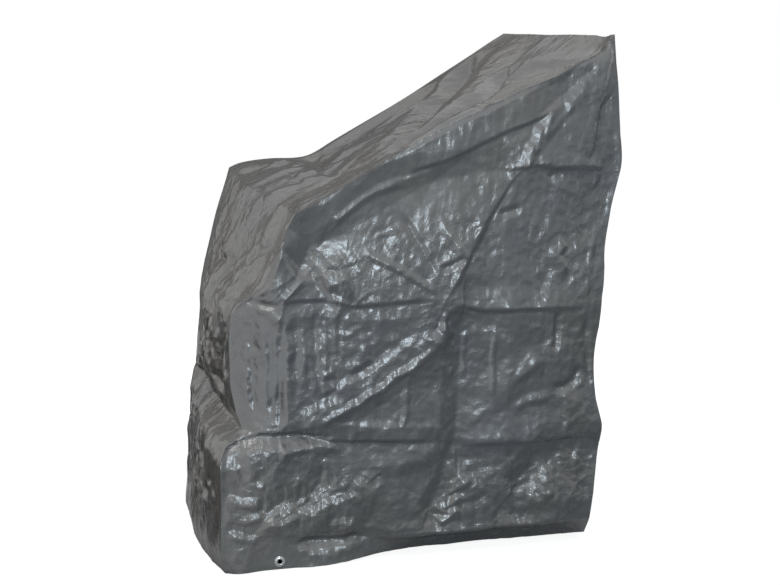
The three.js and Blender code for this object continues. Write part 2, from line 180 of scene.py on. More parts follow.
# Shorter and crisper creases, which lie on the main ones.
MINOR = {"right": [
    (7, 150, 7, (-60, 882), (0, 903), (50, 917), (100, 938), (150, 962), (200, 984), (250, 1000),
        (300, 1020), (352, 1036)),  # over the fan
    (4.5, 20, 7, (246, 888), (266, 958)),  # the bright streak above
    (4.5, 20, 7, (266, 922), (288, 994)),
    (4.5, 20, 7, (288, 956), (312, 1028)),
    (5, 14, 24, (425, 1150), (400, 1100), (372, 1052)),
    (8, 7, 50, (450, 895), (380, 898), (320, 896), (255, 903)),  # packing crease
    (-5, 16, 12, (335, 884), (310, 876), (296, 868)),
    (-5, 10, 16, (185, 790), (240, 805)),
    (-6, 8, 28, (-382, 612), (-230, 603), (-150, 588), (-60, 592), (60, 598)),  # packing crease
    (8, 50, 7, (60, 590), (150, 574), (336, 573), (405, 573)),
    (-5, 12, 18, (-225, 632), (-190, 620), (-150, 590)),
    (-5, 8, 12, (-45, 800), (-25, 765), (0, 720), (32, 658)),  # the fan
    (4.5, 9, 12, (40, 790), (70, 740), (105, 690), (66, 604)),
    (-5, 9, 14, (38, 668), (62, 676), (102, 696)),
    (5, 12, 8, (-145, 722), (-110, 702), (-60, 676), (0, 640), (45, 608)),
    (11, 60, 55, (-232, 634), (-168, 662)),
    (5, 20, 12, *BAND),
    (4.5, 16, 44, (-330, 325), (-290, 345), (-250, 362), (-220, 375), (-195, 400), (-175, 420),
        (-140, 428), (-110, 445), (-80, 470), (-50, 490), (0, 520), (45, 545)),
    (4, 8, 10, (-33, 440), (-37, 340), (-53, 275)),
    (3.5, 7, 8, (108, 530), (106, 410)),
    (3.5, 7, 8, (178, 540), (172, 350)),
    (5.5, 14, 26, (-115, 478), (-150, 458), (-178, 448)),  # above the band
    (4, 12, 24, (-196, 414), (-236, 404)),
    (4, 12, 20, (-200, 446), (-238, 436)),
    (5, 14, 20, (52, 500), (20, 508), (-6, 520)),
    (6.5, 10, 14, (55, 575), (50, 520)),
    (-6, 10, 9, (-412, 632), (-380, 606), (-310, 603)),  # the beak at the front corner
    (16, 100, 36, (-385, 628), (-345, 642), (-310, 660), (-275, 684)),
    (5, 9, 18, (-378, 598), (-345, 588), (-324, 564)),
    (-5, 10, 9, (-326, 565), (-326, 322)),  # the groove beside the front corner
    (-4, 10, 9, (-346, 560), (-342, 330)),
    (4, 10, 14, (-402, 590), (-396, 420), (-386, 340)),
    (-4, 8, 12, (-382, 500), (-376, 350)),
    (5, 16, 10, (-366, 590), (-361, 470)),
    (3.5, 8, 8, (-308, 600), (-312, 350)),
    (-3.5, 9, 8, (-291, 580), (-293, 370)),
    (3.5, 8, 9, (-274, 570), (-271, 395)),
    (-3.5, 10, 8, (-246, 600), (-249, 420)),
    (3.5, 8, 8, (-222, 580), (-226, 430)),
    (-3, 9, 9, (-190, 600), (-193, 470)),
    (-8, 8, 16, (-480, 280), (-420, 292), (-360, 309), (-330, 312)),
    (-10, 9, 30, (-460, 286), (-370, 309), (-284, 304), (-210, 295)),
    (8, 40, 7, (-284, 304), (-169, 290), (45, 273)),
    (6.5, 20, 12, (-360, 262), (-300, 272), (-240, 282), (-180, 262)),
    (6, 90, 7, (100, 262), (240, 258), (435, 262)),
    (7, 24, 13, (40, 70), (98, 108)),  # the bright knot low on the wall
    (7.5, 24, 13, (50, 104), (104, 140)),
    (6.5, 22, 13, (62, 138), (130, 180)),
    (6, 24, 12, (20, 118), (60, 100), (100, 96)),
    (9, 28, 12, (322, 108), (314, 150), (308, 195)),
    (6.5, 22, 16, (-380, 112), (-330, 104), (-280, 128), (-240, 120)),
    (5, 24, 12, (-350, 108), (-300, 140), (-255, 172)),
    (5, 14, 10, (-454, 172), (-420, 158), (-376, 150)),
    (5, 14, 10, (-455, 130), (-410, 116), (-362, 128)),
    (5, 13, 10, (-455, 90), (-415, 78), (-378, 70)),
    (4.5, 12, 9, (-402, 206), (-362, 190)),
    (5, 20, 14, (-235, 80), (-190, 92), (-150, 86)),
    (3, 18, 24, (-120, 76), (0, 66), (120, 58), (250, 60)),
    (-6, 9, 16, (-345, 40), (-310, 54), (-250, 58), (-200, 56), (-150, 60), (-110, 52)),
    (6, 26, 8, (-110, 44), (-60, 50), (0, 47), (70, 52), (130, 47), (210, 53), (300, 49), (405, 54)),
    (-8, 14, 18, (318, 385), (350, 376), (378, 396), (396, 430)),  # the hook near the back
    (4, 26, 16, (222, 400), (262, 430), (290, 460)),
    (5, 16, 16, (222, 330), (250, 350), (320, 362)),
    (-6.5, 12, 10, (328, 570), (326, 470), (322, 455)),
    (11, 13, 80, (455, 1180), (425, 1060), (408, 960), (395, 880)),  # beside the back corner
    (5, 8, 60, (420, 750), (405, 650), (396, 575)),
    (-6.5, 12, 12, (405, 560), (402, 470), (425, 360)),
    (7, 12, 24, (320, 740), (340, 712), (323, 692), (340, 668), (347, 635)),
], "left": [
    (-5, 9, 12, (-420, 596), (0, 590), (430, 592)),
    (-5, 9, 12, (-440, 292), (0, 286), (430, 292)),
    (6.5, 14, 26, (330, 1010), (250, 900), (160, 800)),
    (6.5, 20, 14, (-240, 720), (-120, 660), (20, 600)),
    (-6.5, 14, 16, (-60, 800), (-20, 700), (0, 620)),
    (5, 18, 14, (-380, 120), (-260, 150), (-160, 110)),
    (6.5, 16, 20, (260, 240), (230, 160), (240, 90)),
    (-6.5, 14, 12, (-200, 540), (-190, 420), (-170, 330)),
], "front": [
    (-7, 10, 14, (-345, 366), (-200, 350), (-60, 336), (180, 326), (320, 304)),
    (-6.5, 16, 20, (300, 735), (180, 700), (80, 640)),
    (6.5, 18, 24, (-250, 730), (-60, 680), (150, 640), (290, 600)),
    (-6.5, 18, 14, (-200, 640), (0, 660), (120, 720)),
    (-8, 16, 24, (210, 560), (216, 480), (240, 410)),
    (8, 30, 18, (110, 520), (130, 440), (110, 400)),
    (-6.5, 24, 18, (20, 390), (90, 394), (170, 384)),
    (5, 14, 20, (-60, 230), (120, 200), (330, 150)),
    (5, 22, 14, (-40, 120), (100, 140), (260, 130)),
    (-5, 12, 12, (-300, 590), (0, 596), (280, 600)),
    (5, 14, 14, (-200, 250), (-160, 140), (-150, 40)),
], "back": [
    (-5, 10, 12, (-330, 888), (0, 892), (330, 885)),
    (-5, 10, 12, (-330, 592), (0, 596), (330, 590)),
    (-5, 10, 12, (-330, 292), (0, 290), (330, 282)),
    (6.5, 16, 26, (120, 1120), (60, 900), (90, 700)),
    (-6.5, 20, 14, (-220, 520), (-160, 400), (-170, 200)),
    (6.5, 20, 16, (200, 560), (150, 380), (220, 160)),
    (-5, 12, 12, (0, 1180), (4, 700), (-4, 100)),
], "top": [
    (-6.5, 16, 30, (-340, 362), (-200, 250), (-100, 160), (10, 105)),
    (-5, 14, 18, (10, 325), (70, 280), (140, 240)),
    (-6.5, 20, 30, (150, 185), (230, 90), (290, -10)),
    (6.5, 22, 34, (250, 190), (320, 120), (335, 20)),
    (6.5, 18, 30, (330, 425), (200, 385), (60, 340)),
    (-5, 20, 16, (-260, 150), (-220, 20), (-180, -120)),
    (5, 14, 24, (-340, -205), (-60, -160), (150, -175)),
    (-5, 14, 20, (-80, -215), (0, -208), (90, -230)),
    (-5, 18, 14, (120, -150), (150, -220), (110, -290)),
    (5, 16, 16, (20, 40), (120, 0), (300, -20)),
]}
FOLD_SHARPNESS = 1.05  # 1 is a roof with straight sides, and more draws the crest in
CREST = {"main": 3.0, "minor": 2.0}  # radius at the crest
TAPER = 0.22  # share of a minor crease over which each of its ends dies away

# ---------- the crushing between them

# Nets of flat facets: size across, how high their corners stand, and the stretch of each facet up the wall.
NETS = [
    {"across": 64, "high": 3.6, "stretch": 1.5},
    {"across": 27, "high": 2.1, "stretch": 1.3},
    {"across": 13, "high": 1.0, "stretch": 1.1},
]
NETS_SHARE = {"front": 0.9, "top": 0.45}  # of that height, where it isn't the whole
# Of a net: cells past the wall, room between a corner and its cell's edge, exactness, and where rays start.
NET = {"past": 2, "clear": 0.02, "merge": 1e-5, "decimals": 2, "above": 100}
# Places that are crushed more or less than the rest: centre, reach along each axis, and how many times.
CRUSHED = {
    "right": [
        ((-220, 675), (42, 45), 2.0), ((-385, 460), (45, 130), 1.3), ((-165, 745), (70, 40), 0.35),
        ((50, 840), (160, 60), 0.3), ((110, 740), (40, 60), 1.3), ((-90, 420), (190, 70), 1.2),
        ((75, 120), (40, 50), 1.3), ((-330, 130), (150, 90), 1.9), ((-290, 272), (80, 20), 1.8),
        ((-190, 88), (55, 20), 2.0), ((305, 150), (28, 48), 0.8), ((30, 520), (45, 40), 1.6),
        ((380, 200), (60, 160), 1.6), ((-170, 820), (130, 45), 0.35), ((30, 930), (130, 50), 0.4),
        ((230, 1010), (130, 60), 0.45), ((-300, 720), (45, 90), 0.45), ((300, 965), (60, 60), 0.6),
        ((-60, 860), (120, 30), 0.5), ((-120, 245), (90, 35), 0.5), ((20, 345), (110, 50), 0.5),
        ((190, 400), (100, 80), 0.4), ((170, 290), (70, 25), 0.4), ((200, 770), (50, 100), 0.5),
        ((230, 140), (120, 80), 1.5), ((-15, 795), (35, 50), 0.4), ((190, 620), (70, 50), 0.6),
    ],
    "left": [((0, 700), (200, 120), 1.6), ((-200, 150), (160, 80), 1.8), ((250, 200), (120, 120), 1.5)],
    "front": [((-340, 400), (70, 600), 0.3), ((0, 650), (300, 130), 1.4), ((0, 0), (600, 70), 0.4)],
    "back": [((0, 700), (250, 200), 1.3), ((100, 200), (200, 120), 1.6)],
    "top": [((-340, 0), (70, 600), 0.4)],
}
# Small straight creases strewn over a wall. Each row: their count, lengths, widths and rises, and how many
# degrees they lean from upright at most.
STREWN = {
    "walls": [
        (200, (30, 150), (5, 12), (0.6, 2.2), 85),
        (220, (50, 260), (4, 9), (0.4, 1.5), 6),
    ],
    "front": [
        (60, (70, 260), (12, 32), (2.0, 6.0), 35),
        (120, (20, 100), (5, 10), (0.8, 2.6), 80),
    ],
    "top": [
        (36, (120, 380), (14, 38), (2.5, 7.0), 30),
        (70, (30, 120), (6, 14), (0.5, 1.8), 70),
    ],
}
BOW = 0.08  # of a strewn crease, as a share of half its length
UNEVEN = 2.2  # how many times its width a flank of it may have
STREWN_TAPER = 0.4  # like TAPER
SEAM_CALM = 26  # the crushing dies away over this much towards a seam
WANDER = {"waves": 7, "shortest": 60, "longest": 260, "far": 2.2}  # slow waves that the seams follow too
SEEDS = {"right": 11, "left": 23, "front": 37, "back": 41, "top": 53, "wander": 71}

# ---------- the grids

CELLS = (150, 300, 288)  # of a patch, along x, y and z
HEM_ROWS = 9  # the lowest cells of a wall, which are its hem
INNER_STEP = 3  # the unseen inner face has one cell for this many of the outer one, each way
THICK = {"sheet": 1.0, "hem": 1.6}
SEAM_GAP = 0.3


def curve(rows, key):
    """A smooth curve through rows of x, y, z, for u from 0 to 1, stepped evenly in its key column."""
    points = np.array(rows, float)
    knots = points[:, key]
    order = np.arange(len(knots))
    before, after = np.maximum(order - 1, 0), np.minimum(order + 1, len(knots) - 1)
    slopes = (points[after] - points[before]) / (knots[after] - knots[before])[:, None]

    def at(u):
        value = knots[0] + (knots[-1] - knots[0]) * np.asarray(u, float)
        k = np.clip(np.searchsorted(knots, value) - 1, 0, len(knots) - 2)
        span = (knots[k + 1] - knots[k])[..., None]
        w = (value - knots[k])[..., None] / span
        p, q = points[k], points[k + 1]
        m, n = slopes[k] * span, slopes[k + 1] * span
        return p + w * (m + w * (3 * (q - p) - 2 * m - n + w * (2 * (p - q) + m + n)))

    return at


FOOT, HEAD = 0, -1  # the ends of a corner


def between(end, name, start, stop, key):
    """The edge between the feet or the heads of two corners."""
    return curve([CORNERS[start][end], *EDGES[name], CORNERS[stop][end]], key)


def wall(name, start, end, axis, out, past):
    """A wall from one corner to another, and from its hem to the top. Past an edge is a neighbour."""
    return {
        "axes": (axis, Z), "out": np.array(out), "cells": (CELLS[Z], CELLS[axis]),
        "start": curve(CORNERS[start], Z), "end": curve(CORNERS[end], Z),
        "foot": between(FOOT, f"hem_{name}", start, end, axis),
        "head": between(HEAD, f"top_{name}", start, end, axis),
        "past": {"start": past[0], "end": past[1], "head": "top"},
    }


def slope():
    return {
        "axes": (X, Y), "out": SLOPE_OUT, "cells": (CELLS[Y], CELLS[X]),
        "start": between(HEAD, "top_left", "front_left", "back_left", Y),
        "end": between(HEAD, "top_right", "front_right", "back_right", Y),
        "foot": between(HEAD, "top_front", "front_left", "front_right", X),
        "head": between(HEAD, "top_back", "back_left", "back_right", X),
        "past": {"start": "left", "end": "right", "foot": "front", "head": "back"},
    }


# The five patches of cloth. Their rows run from foot to head, and their columns from start to end.
PATCHES = {
    "right": wall("right", "front_right", "back_right", Y, (1, 0, 0), ("front", "back")),
    "left": wall("left", "front_left", "back_left", Y, (-1, 0, 0), ("front", "back")),
    "front": wall("front", "front_left", "front_right", X, (0, -1, 0), ("left", "right")),
    "back": wall("back", "back_left", "back_right", X, (0, 1, 0), ("left", "right")),
    "top": slope(),
}


def ramp(distance, reach):
    return np.maximum(0, 1 - distance / reach)


def smooth(x):
    x = np.clip(x, 0, 1)
    return x * x * (3 - 2 * x)


def away_from(path, at):
    """How far points are from a path, on which side (1 is left) and how far along it, and its length."""
    path = np.array(path, float)
    best = np.full(len(at), np.inf)
    side, along = np.ones(len(at)), np.zeros(len(at))
    gone = 0.0
    for a, b in zip(path[:-1], path[1:]):
        run = b - a
        length = math.hypot(*run)
        offset = at - a
        on = np.clip(offset @ run / length, 0, length)
        gap = offset - on[:, None] * run / length
        distance = np.hypot(gap[:, 0], gap[:, 1])
        nearer = distance < best
        best = np.where(nearer, distance, best)
        side = np.where(nearer, np.sign(run[0] * offset[:, 1] - run[1] * offset[:, 0]), side)
        along = np.where(nearer, gone + on, along)
        gone += length
    return best, side, along, gone


def relief(creases, hand, at, radius, taper=0.0):
    """How far a list of creases stands out at points on a wall."""
    high, low = np.zeros(len(at)), np.zeros(len(at))
    for rise, left, right, *path in creases:
        box = np.array(path, float)
        reach = max(left, right)
        inside = np.all((at > box.min(0) - reach) & (at < box.max(0) + reach), axis=1)
        if not inside.any():
            continue
        distance, side, along, length = away_from(path, at[inside])
        width = np.where(side * hand > 0, left, right)
        rounded = np.hypot(distance, radius) - radius
        share = ramp(rounded, width) ** FOLD_SHARPNESS
        if taper:
            ends = taper * length
            share = share * smooth(along / ends) * smooth((length - along) / ends)
        high[inside] = np.maximum(high[inside], rise * share)
        low[inside] = np.minimum(low[inside], rise * share)
    return high + low


HAND = {"right": 1, "front": 1, "top": 1, "left": -1, "back": -1}  # -1 where the second axis turns round


def main_relief(name, points):
    at = points[..., PATCHES[name]["axes"]]
    found = relief(MAIN[name], HAND[name], at.reshape(-1, 2), CREST["main"])
    return found.reshape(at.shape[:-1])


def strewn(name, at, rng):
    """Small straight creases at random places."""
    low, high = at.min(0), at.max(0)
    total = np.zeros(len(at))
    for count, long, wide, high_up, most in STREWN.get(name, STREWN["walls"]):
        rows = []
        for _ in range(count):
            lean = math.radians(rng.uniform(-most, most))
            half = np.array([math.sin(lean), math.cos(lean)]) * rng.uniform(*long) / 2
            middle = rng.uniform(low, high)
            bow = rng.normal(0, BOW) * np.array([half[1], -half[0]])
            rise = rng.uniform(*high_up) * rng.choice([-1, 1])
            left, right = rng.uniform(*wide, 2) * rng.uniform(1, UNEVEN, 2)
            rows.append((rise, left, right, middle - half, middle + bow, middle + half))
        total += relief(rows, 1, at, CREST["minor"], STREWN_TAPER)
    return total


def net(at, rng, across, high, stretch):
    """Heights of points on a net of flat facets, whose corners are strewn, and high or low at random."""
    turned = at * np.array([1, 1 / stretch])
    margin = NET["past"] * across
    low = turned.min(0) - margin
    counts = ((turned.max(0) + margin - low) / across).astype(int)
    cells = np.stack(np.meshgrid(*map(np.arange, counts), indexing="ij"), -1).reshape(-1, 2)
    corners = low + across * (cells + rng.uniform(NET["clear"], 1 - NET["clear"], cells.shape))
    heights = rng.uniform(-1, 1, len(corners)) * high

    def key(corner):
        return tuple(np.round(corner, NET["decimals"]))

    points, _, facets, *_ = delaunay_2d_cdt([Vector(c) for c in corners], [], [], 0, NET["merge"])
    height_of = {key(corner): height for corner, height in zip(corners, heights)}
    tree = BVHTree.FromPolygons([(*point, height_of.get(key(point), 0.0)) for point in points], facets)
    down = Vector((0, 0, -1))
    return np.array([tree.ray_cast(Vector((x, y, NET["above"])), down)[0].z for x, y in turned])


def crushed(name, at):
    """How much more than elsewhere the cloth is crushed, at points on a wall."""
    gain = np.ones(at.shape[:-1])
    for centre, reach, times in CRUSHED[name]:
        off = (at - centre) / reach
        gain = gain * (1 + (times - 1) * np.exp(-(off**2).sum(-1)))
    return gain


def crushing(name, points, calm):
    """The fine shape of a wall: crisp creases, strewn ones and nets of facets."""
    at = points[..., PATCHES[name]["axes"]].reshape(-1, 2)
    rng = np.random.default_rng(SEEDS[name])
    gain = crushed(name, at)
    fine = sum(net(at, rng, **row) for row in NETS) * NETS_SHARE.get(name, 1) + strewn(name, at, rng)
    crisp = relief(MINOR[name], HAND[name], at, CREST["minor"], TAPER)
    return crisp.reshape(calm.shape) * smooth(calm * 2) + (fine * gain).reshape(calm.shape) * calm


def wander(points):
    """Slow waves through space, which move a seam and both its walls together."""
    rng = np.random.default_rng(SEEDS["wander"])
    moved = np.zeros_like(points)
    for _ in range(WANDER["waves"]):
        way, swing = rng.normal(size=(2, 3))
        wave = rng.uniform(WANDER["shortest"], WANDER["longest"])
        phase = points @ (way / np.linalg.norm(way)) * 2 * math.pi / wave + rng.uniform(0, 2 * math.pi)
        moved += np.sin(phase)[..., None] * swing / np.linalg.norm(swing)
    return moved * WANDER["far"] / math.sqrt(WANDER["waves"])


def blend(patch, s, t, start, end, foot, head):
    """The four edges of a patch, blended by their weights."""
    point = patch["start"](t) * start[..., None] + patch["end"](t) * end[..., None]
    point = point + patch["foot"](s) * foot[..., None] + patch["head"](s) * head[..., None]
    for u, along in ((0, start), (1, end)):
        point = point - patch["foot"](u) * (along * foot)[..., None]
        point = point - patch["head"](u) * (along * head)[..., None]
    return point


def shares(name):
    """s along each row and t up each column. The lowest rows of a wall are as high as the hem strip."""
    patch = PATCHES[name]
    rows, columns = patch["cells"]
    s, row = np.meshgrid(np.linspace(0, 1, columns + 1), np.arange(rows + 1))
    if name == "top":
        return s, row / rows
    lowest = HEM["height"] / (patch["head"](s)[..., Z] - patch["foot"](s)[..., Z])
    above = lowest + (1 - lowest) * (row - HEM_ROWS) / (rows - HEM_ROWS)
    return s, np.where(row < HEM_ROWS, lowest * row / HEM_ROWS, above)


def ground(name, s, t):
    """A patch without its creases. A side wall is a plane, which only its edges leave."""
    patch = PATCHES[name]
    point = blend(patch, s, t, 1 - s, s, 1 - t, t)
    fade = FADE.get(name)
    if fade:
        along = patch["end"](t)[..., Y] - patch["start"](t)[..., Y]
        up = patch["head"](s)[..., Z] - patch["foot"](s)[..., Z]
        w = [ramp(s * along, fade["start"]), ramp((1 - s) * along, fade["end"]),
             ramp(t * up, fade["foot"]), ramp((1 - t) * up, fade["head"])]
        free = (1 - w[0] - w[1]) * (1 - w[2] - w[3])
        point[..., X] = blend(patch, s, t, *w)[..., X] + free * WALL_X * patch["out"][X]
    return point


def flattened(name, point):
    """Points of a side wall with the cloth flat round its eyelet, and with slow waves further off."""
    away = np.hypot(point[..., Y] - EYELET["y"], point[..., Z] - EYELET["z"])
    free = smooth((away - EYELET_FLAT["within"]) / (EYELET_FLAT["beyond"] - EYELET_FLAT["within"]))
    flat = (WALL_X + HEM["sheet"]) * PATCHES[name]["out"][X]
    point[..., X] = flat + (point[..., X] - flat) * free
    return point + wander(point) * free[..., None]


def drape(name):
    """The points of a patch with its creases, and with those of its neighbours near a seam."""
    patch = PATCHES[name]
    s, t = shares(name)
    base = ground(name, s, t)
    point = base + main_relief(name, base)[..., None] * patch["out"]
    calm = np.ones(s.shape)
    for side, other in patch["past"].items():
        seam = patch[side](t if side in ("start", "end") else s)
        distance = np.linalg.norm(base - seam, axis=-1)
        felt = ramp(distance, NEIGHBOUR_REACH) ** 2
        point = point + (main_relief(other, seam) * felt)[..., None] * PATCHES[other]["out"]
        calm = calm * smooth(distance / SEAM_CALM)
    point = point + crushing(name, base, calm)[..., None] * patch["out"]
    point = flattened(name, point) if name in FADE else point + wander(point)
    point[..., Z] = np.maximum(point[..., Z], 0)
    return point


# Patches that meet share the points of their seam: whose points count, and who takes them.
SIDES = {"start": np.s_[:, 0], "end": np.s_[:, -1], "foot": np.s_[0, :], "head": np.s_[-1, :]}
SEAMS = [
    ("left", "start", "front", "start"), ("right", "start", "front", "end"),
    ("left", "end", "back", "start"), ("right", "end", "back", "end"),
    ("left", "head", "top", "start"), ("right", "head", "top", "end"),
    ("front", "head", "top", "foot"), ("back", "head", "top", "head"),
]
grids = {name: drape(name) for name in PATCHES}
for giver, side, taker, at in SEAMS:
    grids[taker][SIDES[at]] = grids[giver][SIDES[side]]


def normals_of(name):
    """Outward unit normals of a patch at its points."""
    grid = grids[name]
    across, up = np.gradient(grid, axis=1), np.gradient(grid, axis=0)
    normal = np.cross(across, up)
    if (normal.reshape(-1, 3).mean(0) @ PATCHES[name]["out"]) < 0:
        normal = -normal
    return normal / np.linalg.norm(normal, axis=-1, keepdims=True)


normals = {name: normals_of(name) for name in PATCHES}
inward = {name: -normal for name, normal in normals.items()}
back_off = {name: np.zeros_like(grid) for name, grid in grids.items()}
SAME_PIECE = {("front", "top")}
SHARPEST = -0.5  # cosine between two walls past which their mitre grows no longer
for giver, side, taker, at in SEAMS:
    mine, theirs = normals[giver][SIDES[side]], normals[taker][SIDES[at]]
    mitre = -(mine + theirs) / (1 + np.maximum((mine * theirs).sum(-1, keepdims=True), SHARPEST))
    inward[giver][SIDES[side]] = inward[taker][SIDES[at]] = mitre
    if (giver, taker) not in SAME_PIECE:
        apart = mine - theirs
        apart = apart / np.linalg.norm(apart, axis=-1, keepdims=True) * SEAM_GAP / 2
        back_off[giver][SIDES[side]] += apart
        back_off[taker][SIDES[at]] -= apart


def rows_of(name, first=0, last=None):
    """Points of the rows of a patch, the way inwards there, and how crushed the cloth is."""
    rows = slice(first, last)
    crush = crushed(name, grids[name][rows][..., PATCHES[name]["axes"]])
    return grids[name][rows] + back_off[name][rows], inward[name][rows], crush


def lengths(points, axis):
    """Distance gone along the rows or columns of a grid, averaged over the other axis, for the weave."""
    steps = np.linalg.norm(np.diff(points, axis=axis), axis=-1).mean(1 - axis)
    return np.concatenate([[0], np.cumsum(steps)])


def spread(coarse, step):
    """Points of a coarse grid with step cells put in for each of its own."""
    for _ in range(2):
        share = (np.arange((len(coarse) - 1) * step + 1) / step)[:, None, None]
        low = np.minimum(share.astype(int), len(coarse) - 2)[:, 0, 0]
        coarse = coarse[low] + (share - low[:, None, None]) * (coarse[low + 1] - coarse[low])
        coarse = coarse.swapaxes(0, 1)
    return coarse


def lining(outer, way, thickness, step):
    """The inner face: a coarser grid, moved in so far that no fold of the outer face comes through it."""
    deep = np.zeros(outer.shape[:2])
    coarse, coarse_way = outer[::step, ::step], way[::step, ::step]
    if step > 1:
        deep = np.maximum(((outer - spread(coarse, step)) * way).sum(-1), 0)
    rows, columns = deep.shape
    padded = np.pad(deep, step)
    near = [padded[i:i + rows, j:j + columns] for i in range(2 * step + 1) for j in range(2 * step + 1)]
    return coarse + coarse_way * (thickness + np.max(near, axis=0)[::step, ::step, None])


def quads(grid):
    return np.stack([grid[:-1, :-1], grid[:-1, 1:], grid[1:, 1:], grid[1:, :-1]], -1).reshape(-1, 4)


def rim(line, inner_line, turned):
    """Faces between an edge of the outer grid and that of the inner one, which has fewer points."""
    step = (len(line) - 1) // (len(inner_line) - 1)
    ends = range(len(inner_line) - 1)
    cells = [[inner_line[k], *line[k * step:(k + 1) * step + 1], inner_line[k + 1]] for k in ends]
    return [cell[::-1] for cell in cells] if turned else cells


def sheet_faces(face, back):
    faces = quads(face).tolist() + quads(back)[:, ::-1].tolist()
    faces += rim(face[0], back[0], True) + rim(face[-1], back[-1], False)
    return faces + rim(face[:, 0], back[:, 0], False) + rim(face[:, -1], back[:, -1], True)


def mark_cloth(mesh, outer, gain, step):
    """Tells the material where each point is on the flat cloth, and how crushed."""
    flat = np.stack(np.meshgrid(lengths(outer, 1), lengths(outer, 0)), -1) * MM
    flat = np.concatenate([flat.reshape(-1, 2), flat[::step, ::step].reshape(-1, 2)])
    corner_of = np.empty(len(mesh.loops), int)
    mesh.loops.foreach_get("vertex_index", corner_of)
    mesh.uv_layers.new(name="cloth").data.foreach_set("uv", flat[corner_of].ravel())
    crush = mesh.attributes.new("crush", "FLOAT", "POINT")
    crush.data.foreach_set("value", np.concatenate([gain.ravel(), gain[::step, ::step].ravel()]))


def sharpen_rim(mesh, *faces):
    """Marks the edges of both faces of a sheet as sharp, and shades the rest smoothly."""
    mesh.polygons.foreach_set("use_smooth", [True] * len(mesh.polygons))
    on_rim = [np.pad(np.zeros_like(grid[1:-1, 1:-1]), 1, constant_values=1) for grid in faces]
    on_rim = np.concatenate([grid.ravel() for grid in on_rim]).astype(bool)
    ends = np.empty(2 * len(mesh.edges), int)
    mesh.edges.foreach_get("vertices", ends)
    mesh.edges.foreach_set("use_edge_sharp", on_rim[ends.reshape(-1, 2)].all(1))


def placed(name, data):
    """A new object, in the scene."""
    made = bpy.data.objects.new(name, data)
    bpy.context.scene.collection.objects.link(made)
    return made


def sheet_mesh(name, outer, way, gain, thickness, step=INNER_STEP, flip=False):
    """A closed thin sheet from rows of points: its outer face, its inner face and the rim between them."""
    inner = lining(outer, way, thickness, step)
    points = np.concatenate([outer.reshape(-1, 3), inner.reshape(-1, 3)])
    points[:, Z] = np.maximum(points[:, Z], 0)
    face = np.arange(outer[..., 0].size).reshape(outer.shape[:2])
    back = face.size + np.arange(inner[..., 0].size).reshape(inner.shape[:2])
    faces = sheet_faces(face, back)
    if flip:
        faces = [cell[::-1] for cell in faces]
    mesh = bpy.data.meshes.new(name)
    mesh.from_pydata((points * MM).tolist(), [], faces)
    mark_cloth(mesh, outer, gain, step)
    mesh.update()
    sharpen_rim(mesh, face, back)
    return placed(name, mesh)


# ---------- materials


class Nodes:
    """Adds nodes to a material or a world, and feeds the shader of a material."""

    def __init__(self, owner):
        owner.use_nodes = True
        self.owner = owner
        self.tree = owner.node_tree
        self.shader = self.tree.nodes.get("Principled BSDF")

    def give(self, node, key, value):
        if isinstance(value, bpy.types.NodeSocket):
            self.tree.links.new(value, node.inputs[key])
        else:
            node.inputs[key].default_value = value

    def add(self, kind, inputs=None, **settings):
        node = self.tree.nodes.new("ShaderNode" + kind)
        for key, value in settings.items():
            setattr(node, key, value)
        for key, value in (inputs or {}).items():
            self.give(node, key, value)
        return node

    def feed(self, key, value):
        self.give(self.shader, key, value)

    def math(self, operation, a, b, clamp=False):
        return self.add("Math", {0: a, 1: b}, operation=operation, use_clamp=clamp).outputs[0]

    def ramp(self, value, *stops):
        node = self.add("ValToRGB", {"Fac": value})
        elements = node.color_ramp.elements
        while len(elements) < len(stops):
            elements.new(0.5)
        for element, (place, color) in zip(elements, stops):
            element.position = place
            element.color = (*color, 1)
        return node.outputs["Color"]

    def noise(self, where, output="Fac", **inputs):
        return self.add("TexNoise", {"Vector": where, **inputs}).outputs[output]

    def ranged(self, value, span, to):
        """A value between the two of span as one between the two of to."""
        ends = dict(zip(("From Min", "From Max", "To Min", "To Max"), (*span, *to)))
        return self.add("MapRange", {"Value": value, **ends}).outputs[0]

    def bump(self, height, strength, distance):
        made = self.add("Bump", {"Height": height, "Strength": strength, "Distance": distance})
        return made.outputs["Normal"]


def srgb(r, g, b):
    """A colour that is seen as these 0 to 255 values, as the shader's linear one."""
    return tuple(((c / 255 + 0.055) / 1.055) ** 2.4 for c in (r, g, b))


CLOTH = {
    "clean": srgb(97, 97, 98),
    "dusty": srgb(103, 101, 98),
    "tape": 2.6 * MM,  # width of one woven tape
    "crown": 0.05 * MM,  # how high the middle of a tape stands
    "rough": (0.23, 0.35),
    "specular": 0.9,
}
# Clouds of colour: of dust, and of grime, which darkens and roughens. Stops and span are of the noise.
DUST = {"noise": {"Scale": 3.1, "Detail": 5, "Roughness": 0.6}, "stops": (0.36, 0.66)}
GRIME = {"noise": {"Scale": 17, "Detail": 6, "Roughness": 0.7}, "stops": (0.38, 0.70), "span": (0.3, 0.7),
         "dark": (0.84, 0.84, 0.85)}
# Fine crumples: cells per metre, and how steep their facets are.
CRUMPLES = [{"cells": 50, "steep": 0.075}, {"cells": 120, "steep": 0.03}]
# Drawn lines along and across the tapes: waves per metre each way, and their height.
LINES = [{"squeeze": (75, 5, 1), "high": 0.8 * MM}, {"squeeze": (260, 16, 1), "high": 0.25 * MM},
         {"squeeze": (14, 240, 1), "high": 0.2 * MM}]
LINES_SHARE = {"woven_sheet": 1.0, "woven_sheet_top": 0.2}  # of that height, in each cloth
WARP = {"waves": 38, "far": 9 * MM}
